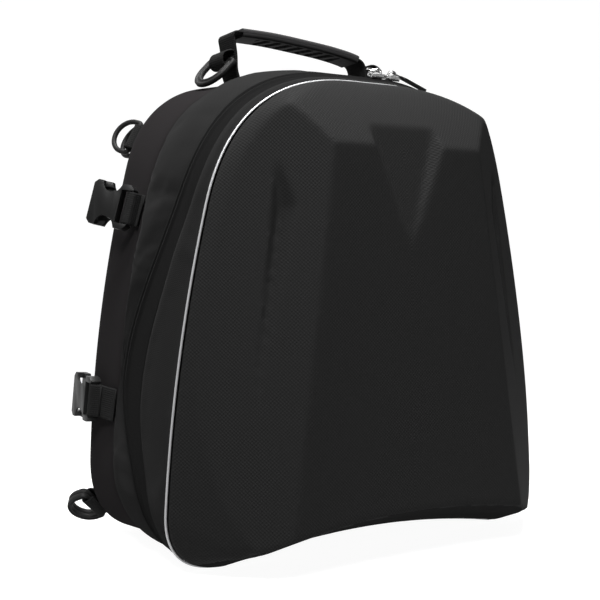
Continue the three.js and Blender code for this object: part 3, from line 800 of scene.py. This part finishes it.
def loop_route(stack):
    """Route of folded webbing around a stack of ring bars, in X and Z."""
    half_bar = RING.bar / 2 + LOOP.slack
    middle = stack / 2 + LOOP.slack + LOOP.wall / 2
    tail = half_bar + LOOP.tail
    fold = half_bar + LOOP.wall / 2
    half = [(-tail, middle * LOOP.taper), (-half_bar, middle), (half_bar * LOOP.bend, middle),
            (fold, middle * LOOP.fold)]
    points = [(x, 0, -z) for x, z in half] + [(x, 0, z) for x, z in reversed(half)]
    return catmull_rom(points, LOOP_STEPS)


def loop(name, stack, origin, along, across):
    width = RING.width - 2 * (RING.bar + LOOP.clearance)
    piece = band(name, loop_route(stack), BACKWARD, width, LOOP.wall)
    return move_to(piece, origin, along, across)


def notch(start, end, depth, level, steps=10):
    """Scooped notch along X in an edge at a level of Y."""
    points = []
    for share in np.linspace(0, 1, steps + 1):
        x = start + (end - start) * share
        scoop = sin(pi * share) ** BUCKLE.notch_power
        points.append((x, level - copysign(depth, level) * scoop))
    return points


def buckle(name):
    """Socket half of a side-release buckle. Its bar lies along Y at X = 0 and its mouth faces +X."""
    half = BUCKLE.width / 2
    corner = BUCKLE.corner
    length = BUCKLE.length
    start, end = BUCKLE.neck_start, BUCKLE.neck_end
    edge = [(-BUCKLE.bar, -half + corner), (-BUCKLE.bar + corner, -half)]
    edge += notch(start, end, BUCKLE.neck_depth, -half)
    edge += [(length - corner, -half), (length, -half + corner)]
    edge += [(length, half - corner), (length - corner, half)]
    edge += notch(end, start, BUCKLE.neck_depth, half)
    edge += [(-BUCKLE.bar + corner, half), (-BUCKLE.bar, half - corner)]
    piece = extruded(name, edge, -BUCKLE.thickness / 2, BUCKLE.thickness / 2)
    past = 1.0
    mouth = (BUCKLE.mouth_depth, BUCKLE.mouth_width, BUCKLE.mouth_height)
    cut(piece, box_block("mouth", mouth, (length + past - BUCKLE.mouth_depth / 2, 0, 0)))
    slot = (BUCKLE.slot, BUCKLE.slot_width, 2 * BUCKLE.thickness)
    cut(piece, box_block("slot", slot, (BUCKLE.slot / 2, 0, 0)))
    relief = (BUCKLE.thickness - BUCKLE.bar_thickness) / 2 + past
    run = 2 * (BUCKLE.bar + past)
    for side in (-1, 1):
        centre = (-BUCKLE.bar, 0, side * (BUCKLE.bar_thickness + relief) / 2)
        cut(piece, box_block("relief", (run, BUCKLE.slot_width, relief), centre))
        cut(piece, latch_window(side * half))
    return round_edges(piece, BUCKLE.edge)


def latch_window(level):
    """Scoop through the outer face at the side of a socket, where a plug's latch is pressed."""
    oval = [(BUCKLE.window_at + BUCKLE.window_length * cos(a),
             level + BUCKLE.window_depth * sin(a)) for a in around_circle(BUCKLE.window_steps)]
    return extruded("window", oval, 0, BUCKLE.thickness)


# Zip sliders

def slider(name):
    """Zip slider that points along X, with an arched bail on its back."""
    length, width, nose = SLIDER.length, SLIDER.width, SLIDER.nose
    thickness = SLIDER.thickness
    plan = [(-length / 2, -nose / 2), (length / 6, -width / 2), (length / 2, -width / 2),
            (length / 2, width / 2), (length / 6, width / 2), (-length / 2, nose / 2)]
    piece = extruded(name, plan, 0, thickness)
    gap = (2 * length, SLIDER.gap_width, SLIDER.gap_height)
    cut(piece, box_block("teeth_gap", gap, (0, 0, thickness / 2)))
    round_edges(piece, SLIDER.edge)
    middle = BAIL.radius + BAIL.wall / 2
    route = []
    for angle in np.linspace(0, pi, BAIL.steps):
        route.append((middle * cos(angle), 0, thickness - BAIL.sink + middle * sin(angle)))
    bail = band(name + "_bail", np.array(route), BACKWARD, BAIL.width, BAIL.wall)
    return joined([piece, bail])


def joined(pieces):
    """One piece made of several."""
    mesh = bmesh.new()
    for piece in pieces:
        mesh.from_mesh(piece.data)
    mesh.to_mesh(pieces[0].data)
    mesh.free()
    for piece in pieces[1:]:
        bpy.data.objects.remove(piece)
    return shade_smooth(pieces[0])


def wire_ring(name, height):
    radius = PULL_RING.radius
    section = round_section(PULL_RING.wire / 2, PULL_RING.wire_steps)
    rows = []
    for angle in around_circle(PULL_RING.steps):
        direction = np.array([cos(angle), sin(angle), 0])
        row = np.array([radius, 0, height]) + (radius + section[:, :1]) * direction
        row[:, 2] += section[:, 1]
        rows.append(row)
    return loft(name, rows, closed=True)


# Finishing

def dressed(piece, material, slot_name, *nodes):
    """Gives a piece its material and hides the solids that it stands for. slot_name is not used."""
    piece.data.materials.clear()
    piece.data.materials.append(material)
    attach(piece, "root")
    if nodes:
        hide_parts(*nodes)
    return piece


def dressed_pair(piece, material, slot_name, node):
    """Dresses a piece on the left side and its mirror image on the right."""
    other = mirrored(piece, piece.name.replace("_left", "_right"))
    dressed(piece, material, slot_name, node + "_left")
    dressed(other, material, slot_name, node + "_right")


# Materials

def grey(level):
    return level, level, level


def set_inputs(node, values):
    for name, value in values.items():
        node.inputs[name].default_value = value


def new_material(name, colour, roughness, specular=0.5):
    """New material and its shader."""
    material = bpy.data.materials.new(name)
    material.use_nodes = True
    shader = material.node_tree.nodes["Principled BSDF"]
    set_inputs(shader, {"Base Color": (*colour, 1), "Roughness": roughness, "Specular IOR Level": specular})
    return material, shader


def new_node(shader, kind):
    """New node in the material of a shader."""
    return shader.id_data.nodes.new("ShaderNode" + kind)


def link(source, target):
    source.id_data.links.new(source, target)


def maths(operation, first, *others):
    """Maths node fed by a socket, and then by sockets or plain numbers."""
    node = first.id_data.nodes.new("ShaderNodeMath")
    node.operation = operation
    for place, value in enumerate((first, *others)):
        if isinstance(value, (int, float)):
            node.inputs[place].default_value = value
        else:
            link(value, node.inputs[place])
    return node.outputs[0]


def wave(coordinate, pitch):
    """Smooth wave with a pitch in millimetres along a coordinate in metres."""
    return maths("SINE", maths("MULTIPLY", coordinate, 2 * pi / (pitch * MM)))


def coordinates(shader, kind):
    """X, Y and Z sockets of a kind of texture coordinate."""
    split = new_node(shader, "SeparateXYZ")
    link(new_node(shader, "TexCoord").outputs[kind], split.inputs[0])
    return split.outputs


def add_bump(shader, height, strength, distance):
    bump = new_node(shader, "Bump")
    set_inputs(bump, {"Strength": strength, "Distance": distance * MM})
    link(height, bump.inputs["Height"])
    link(bump.outputs["Normal"], shader.inputs["Normal"])


def add_grain(shader, scale, strength, distance):
    """Slight unevenness of a hard surface."""
    noise = new_node(shader, "TexNoise")
    set_inputs(noise, {"Scale": scale})
    add_bump(shader, noise.outputs["Fac"], strength, distance)


def tinted(shader, pattern, dark, light):
    """Colour that runs from dark to light with a pattern from 0 to 1."""
    ramp = new_node(shader, "ValToRGB")
    ramp.color_ramp.elements[0].color = (*dark, 1)
    ramp.color_ramp.elements[1].color = (*light, 1)
    link(pattern, ramp.inputs["Fac"])
    link(ramp.outputs["Color"], shader.inputs["Base Color"])


WEAVE = Values(pitch=2.6, depth_share=0.25, dark=0.0072, light=0.0118)


def shell_material():
    """Moulded front with a fine diagonal weave."""
    material, shader = new_material("moulded_weave", grey(0.009), roughness=0.65, specular=0.015)
    x, y, z = coordinates(shader, "Object")
    level = maths("ADD", maths("ABSOLUTE", x), maths("MULTIPLY", y, WEAVE.depth_share))
    rising = wave(maths("ADD", level, z), WEAVE.pitch)
    falling = wave(maths("SUBTRACT", level, z), WEAVE.pitch)
    weave = maths("ADD", rising, falling)
    # The two waves together run from -2 to 2, and the tint from 0 to 1
    pattern = maths("MULTIPLY_ADD", weave, 0.25, 0.5)
    tinted(shader, pattern, grey(WEAVE.dark), grey(WEAVE.light))
    add_bump(shader, weave, strength=0.25, distance=0.2)
    return material


def cloth_material(name, colour, pitch=1.3):
    """Plain woven cloth, by the lengths along the piece."""
    material, shader = new_material(name, colour, roughness=0.9, specular=0.0)
    u, v, _ = coordinates(shader, "UV")
    add_bump(shader, maths("MULTIPLY", wave(u, pitch), wave(v, pitch)), strength=0.35, distance=0.15)
    set_inputs(shader, {"Sheen Weight": 0.01, "Sheen Roughness": 0.5})
    return material


def webbing_material(pitch=1.6):
    """Ribbed webbing."""
    material, shader = new_material("webbing", grey(0.0085), roughness=0.85, specular=0.03)
    u, v, _ = coordinates(shader, "UV")
    add_bump(shader, maths("ADD", wave(v, pitch), wave(u, pitch)), strength=0.4, distance=0.25)
    return material


def plastic_material(name, colour, roughness, specular):
    """Moulded black plastic with a slight unevenness."""
    material, shader = new_material(name, colour, roughness, specular)
    add_grain(shader, scale=900, strength=0.12, distance=0.15)
    return material


def reflective_material(pitch=1.4):
    """Light grey reflective cord."""
    material, shader = new_material("reflective_cord", (0.3, 0.3, 0.305), roughness=0.35)
    set_inputs(shader, {"Metallic": 0.35})
    add_bump(shader, wave(coordinates(shader, "UV")[0], pitch), strength=0.15, distance=0.1)
    return material


def chrome_material():
    """Plated metal of the zip sliders."""
    material, shader = new_material("plated_metal", grey(0.6), roughness=0.22)
    set_inputs(shader, {"Metallic": 1})
    add_grain(shader, scale=600, strength=0.05, distance=0.1)
    return material


SHELL = shell_material()
# Darker cloth for the shell's downward faces: painted shade under the bag
PAINTED_SHADE_CLOTH = cloth_material("underside_painted_shade", grey(0.005))
STRIP = cloth_material("strip_cloth", grey(0.0095))
REAR = cloth_material("rear_cloth", (0.0085, 0.0078, 0.0081))
TAPE = cloth_material("zip_tape", grey(0.005), pitch=1.0)
WEB = webbing_material()
PLASTIC = plastic_material("black_plastic", grey(0.007), roughness=0.4, specular=0.2)
RING_PLASTIC = plastic_material("ring_plastic", grey(0.01), roughness=0.55, specular=0.07)
RUBBER = plastic_material("grip_rubber", (0.024, 0.0235, 0.024), roughness=0.7, specular=0.05)
CORD = reflective_material()
CHROME = chrome_material()


# Assembly

def add_shell():
    piece = dressed(shell(), SHELL, "shell", "front_shell")
    # Faces that look down get the darker cloth: painted shade under the bag
    piece.data.materials.append(PAINTED_SHADE_CLOTH)
    for face in piece.data.polygons:
        if face.normal.z < PAINTED_SHADE_TURN:
            face.material_index = 1
    dressed(piping(), CORD, "reflective", "piping")


def add_soft_body():
    band_seams = (0, PAD_STEPS)
    front = padded_strip("front_band_cloth", FRONT_BAND.start, dividing_line(WELT_LINE), FRONT_BAND)
    soft_piece(front, band_seams, FRONT_BAND)
    dressed(front, STRIP, "strip", "front_band")
    dressed(thicken(zip_strip(), CLOTH), TAPE, "strip", "zip_strip")
    dressed(zip_coil(), PLASTIC, "plastic")
    dressed(lining(), TAPE, "cloth")
    rear_start = dividing_line(ZIP_LINE) + GAP
    rear = padded_strip("rear_band_cloth", rear_start, SEAM_BACK, REAR_BAND, front_sink=ZIP_SINK)
    soft_piece(rear, band_seams, REAR_BAND)
    dressed(rear, STRIP, "strip", "rear_band")
    back = soft_piece(rear_cloth(), panel_seams(), COMPARTMENT)
    dressed(back, REAR, "cloth", "rear_body")


def add_edge_rings(row):
    """Pair of D-rings in a webbing loop at the rear edge, on both sides."""
    point, up = left_side_at(REAR_EDGE_BACK, row.height)
    out = unit(-np.cross(BACKWARD, up))

    def turned(degrees):
        angle = radians(degrees)
        return BACKWARD * cos(angle) + out * sin(angle)

    along = turned(row.outward)
    twist = radians(row.twist)
    across = up * cos(twist) + np.cross(along, up) * sin(twist)
    tail = RING.bar / 2 + LOOP.slack + LOOP.tail
    start = point - out * REAR_ROUND + along * (REAR_ROUND + GAP + tail)
    name = row.name
    stack = RING.thickness + row.spacing
    folded = loop(f"web_loop_{name}_left", stack, start, along, across)
    dressed_pair(folded, WEB, "webbing", f"loop_{name}")
    normal = np.cross(along, across)
    section = grooved_section(RING.bar) if row.grooved else round_section(RING.bar / 2)
    for letter, side in (("a", 1), ("b", -1)):
        piece = d_ring(f"d_ring_{name}_{letter}_left", section, RING)
        seat = start + normal * side * row.spacing / 2
        move_to(piece, seat, turned(row.outward - side * row.fan), across)
        dressed_pair(piece, RING_PLASTIC, "plastic", f"ring_{name}_{letter}")


def add_side_strap(row):
    """Webbing tab that folds around the bar of a buckle socket, on both sides."""
    _, up = left_side_at(row.bend, row.height)
    out = unit(-np.cross(BACKWARD, up))
    rise = tan(radians(row.tilt))
    thickness = WEBBING.thickness

    def on_body(back, above):
        place, _ = left_side_at(back, row.height + (back - row.bend) * rise)
        return place + out * (above + thickness / 2)

    start = on_body(STRAP.start, 2 * GAP)
    turn_off = on_body(row.bend, row.lift)
    flat = unit(turn_off - start)
    angle = radians(row.outward)
    along = unit(flat * cos(angle) + out * sin(angle))
    across = unit(-up + along * np.dot(up, along))
    normal = np.cross(along, across)
    bar = BUCKLE.bar
    turn = hypot(bar, BUCKLE.bar_thickness) / 2 + thickness / 2 + GAP
    seat = turn_off + along * row.free + normal * turn

    def near(x, z):
        return seat + along * x + normal * z

    fold = [near(turn * cos(a) - bar / 2, turn * sin(a))
            for a in np.linspace(-pi / 2, pi / 2, STRAP.fold_steps)]
    layered = -turn + thickness + GAP
    route = [start, turn_off, *fold, near(-bar - thickness, turn),
             near(-STRAP.fold / 2 - bar, layered), near(-STRAP.fold, layered)]
    name = row.name
    smooth_route = catmull_rom(route, STRAP.steps)
    tab = band(f"web_tab_{name}_left", smooth_route, across, WEBBING.width, thickness)
    dressed_pair(tab, WEB, "webbing", f"strap_{name}")
    socket = move_to(buckle(f"socket_{name}_left"), seat, along, across)
    dressed_pair(socket, PLASTIC, "plastic", f"buckle_{name}")


def handle_route(steps):
    y = PIPING_Y + HANDLE_BACK
    foot = top_at(HANDLE_BACK, HANDLE_FOOT.across) + HANDLE_FOOT.lift
    route = [(-HANDLE_FOOT.across, y, foot)]
    route += [(across, y, height) for across, height in HANDLE_ROUTE]
    route.append((HANDLE_FOOT.across, y, foot))
    return catmull_rom(route, steps)


def handle_grip():
    """Moulded grip around the webbing, with slanted slots in its underside."""
    route = handle_route(GRIP.steps)
    frames = band_frames(route, BACKWARD)
    section = rounded_section(GRIP.width, GRIP.height, GRIP.corner, flat_steps=16)
    middle = abs(section[:, 0]) < GRIP.width * RIB.half_share
    # Points on the flat faces lie this near to the full height
    flat = 0.1
    rows = []
    first = round(GRIP.steps * GRIP.first)
    last = round(GRIP.steps * GRIP.last)
    for step in range(first, last + 1):
        side, rise = frames[step]
        length = np.linalg.norm(route[step] - route[first])
        margin = min(length, np.linalg.norm(route[last] - route[step]))
        shape = section.copy()
        under = shape[:, 1] * np.sign(rise[2]) < -GRIP.height / 2 + flat
        phase = (length + RIB.slant * shape[:, 0]) / RIB.pitch % 1
        slot = (phase < RIB.slot_share) & under & middle & (margin > RIB.margin)
        shape[:, 1] -= np.where(slot, np.sign(shape[:, 1]) * RIB.depth, 0)
        rows.append(route[step] + shape[:, :1] * side + shape[:, 1:] * rise)
    return shade_smooth(loft("moulded_grip", rows, capped=True), sharp_degrees=40)


def add_handle():
    webbing = band("handle_webbing", handle_route(HANDLE_STRAP.steps), BACKWARD,
                   HANDLE_STRAP.width, HANDLE_STRAP.thickness)
    dressed(webbing, WEB, "webbing", "handle_strap")
    dressed(handle_grip(), RUBBER, "plastic", "handle_grip")


def add_top_rings():
    """D-ring in a webbing loop at the foot of the handle, on both sides."""
    slope = radians(TOP_RING.slope)
    along = np.array([-cos(slope), 0, -sin(slope)])
    seat = np.array([-TOP_RING.across, PIPING_Y + HANDLE_BACK, TOP_RING.height])
    twist = radians(TOP_RING.twist)
    across = BACKWARD * cos(twist) + np.cross(BACKWARD, along) * sin(twist)
    ring = d_ring("d_ring_top_left", grooved_section(TOP_RING.bar), TOP_RING)
    move_to(ring, seat, along, across)
    dressed_pair(ring, RING_PLASTIC, "plastic", "ring_top")
    route = catmull_rom([(x, seat[1], z) for x, z in TOP_LOOP_ROUTE], TOP_LOOP_STEPS)
    folded = band("web_loop_top_left", route, BACKWARD, WEBBING.width, LOOP.wall)
    dressed_pair(folded, WEB, "webbing", "loop_top")


def add_zip_sliders():
    back = float(dividing_line(ZIP_LINE, np.array(SECTIONS["top"][0])))
    tilt = radians(SLIDER.tilt)
    across = np.array([0, cos(tilt), sin(tilt)])
    lift = np.array([0, -sin(tilt), cos(tilt)]) * SLIDER.lift
    right = np.array([1.0, 0, 0])

    def seat_at(x):
        return np.array([x, PIPING_Y + back, top_at(back, x)]) + lift

    for name, place, sign in (("left", LEFT_SLIDER, -1), ("right", RIGHT_SLIDER, 1)):
        piece = move_to(slider(f"zip_slider_{name}"), seat_at(place), sign * right, sign * across)
        dressed(piece, CHROME, "chrome", f"slider_{name}")
    eye = SLIDER.thickness + BAIL.eye
    left_ring = move_to(wire_ring("zip_wire_ring", eye), seat_at(LEFT_SLIDER), -right, -across)
    dressed(left_ring, CHROME, "chrome", "slider_ring")
    slope = radians(PULL.slope)
    hang = np.array([cos(slope), 0, -sin(slope)])
    start = 2 * PULL_RING.radius - PULL.overlap
    tab = box_block("tab", (PULL.length, PULL.width, PULL.thickness),
                    (start + PULL.length / 2, 0, eye))
    round_edges(tab, PULL.edge)
    pull = joined([tab, wire_ring("pull_ring", eye)])
    pull.name = "zip_pull_tab"
    move_to(pull, seat_at(RIGHT_SLIDER), hang, across)
    dressed(pull, PLASTIC, "plastic", "zip_pull")


# Studio

def add_camera():
    data = bpy.data.cameras.new("camera")
    data.sensor_width = CAMERA_SENSOR
    data.lens = CAMERA_LENS
    camera = new_object("camera", data)
    turn, tip = radians(CAMERA_TURN), radians(CAMERA_TIP)
    forward = Vector((sin(turn) * cos(tip), cos(turn) * cos(tip), -sin(tip)))
    camera.location = CAMERA_PLACE
    camera.rotation_euler = forward.to_track_quat("-Z", "Y").to_euler()
    bpy.context.scene.camera = camera


def add_light(row):
    """Soft square light that points at its target."""
    data = bpy.data.lights.new(row.name, "AREA")
    data.size = row.size
    data.energy = row.power
    data.spread = radians(row.spread)
    light = new_object(row.name, data)
    light.location = row.place
    ahead = Vector(row.target) - Vector(row.place)
    light.rotation_euler = ahead.to_track_quat("-Z", "Y").to_euler()


# Edges of the glowing part of the floor: shares of X and Y, and the distance of the edge in metres
GLOW_EDGES = [(0.5, 0.866, 0.215), (-0.687, 0.727, 0.247)]
GLOW = {"From Min": -0.9, "From Max": 0.0, "To Min": 0.4, "To Max": 0.95}


def floor_glow(shader):
    """Glow that is even behind and beside the bag and fades towards the front and the right."""
    x, y, _ = coordinates(shader, "Object")
    inside = []
    for x_share, y_share, distance in GLOW_EDGES:
        along = maths("ADD", maths("MULTIPLY", x, x_share), maths("MULTIPLY", y, y_share))
        inside.append(maths("ADD", along, distance))
    fade = new_node(shader, "MapRange")
    set_inputs(fade, GLOW)
    link(maths("MINIMUM", *inside), fade.inputs["Value"])
    return fade.outputs["Result"]


def add_floor():
    """Pale floor that curves up into a backdrop."""
    bend = FLOOR.bend
    flat_end = FLOOR.depth - bend
    profile = [(FLOOR.front, 0), (flat_end, 0)]
    for angle in np.linspace(0, pi / 2, FLOOR.bend_steps)[1:]:
        profile.append((flat_end + bend * sin(angle), bend - bend * cos(angle)))
    profile.append((FLOOR.depth, FLOOR.rise))
    points = [(x, y, z) for y, z in profile for x in (-FLOOR.half, FLOOR.half)]
    faces = [(2 * k, 2 * k + 1, 2 * k + 3, 2 * k + 2) for k in range(len(profile) - 1)]
    floor = piece_from("floor", points, faces)
    material, shader = new_material("pale_floor", grey(0.2), roughness=0.9, specular=0.1)
    set_inputs(shader, {"Emission Color": (1, 1, 1, 1)})
    link(floor_glow(shader), shader.inputs["Emission Strength"])
    floor.data.materials.append(material)


def add_world():
    world = bpy.data.worlds.new("studio")
    world.use_nodes = True
    background = world.node_tree.nodes["Background"]
    set_inputs(background, {"Color": (1, 1, 1, 1), "Strength": WORLD_STRENGTH})
    bpy.context.scene.world = world


def add_studio():
    add_world()
    add_floor()
    for row in LIGHTS:
        add_light(row)
    add_camera()
    bpy.context.scene.view_settings.view_transform = "Standard"


add_shell()
add_soft_body()
for ring_row in EDGE_RINGS:
    add_edge_rings(ring_row)
for strap_row in SIDE_STRAPS:
    add_side_strap(strap_row)
add_handle()
add_top_rings()
add_zip_sliders()
add_studio()
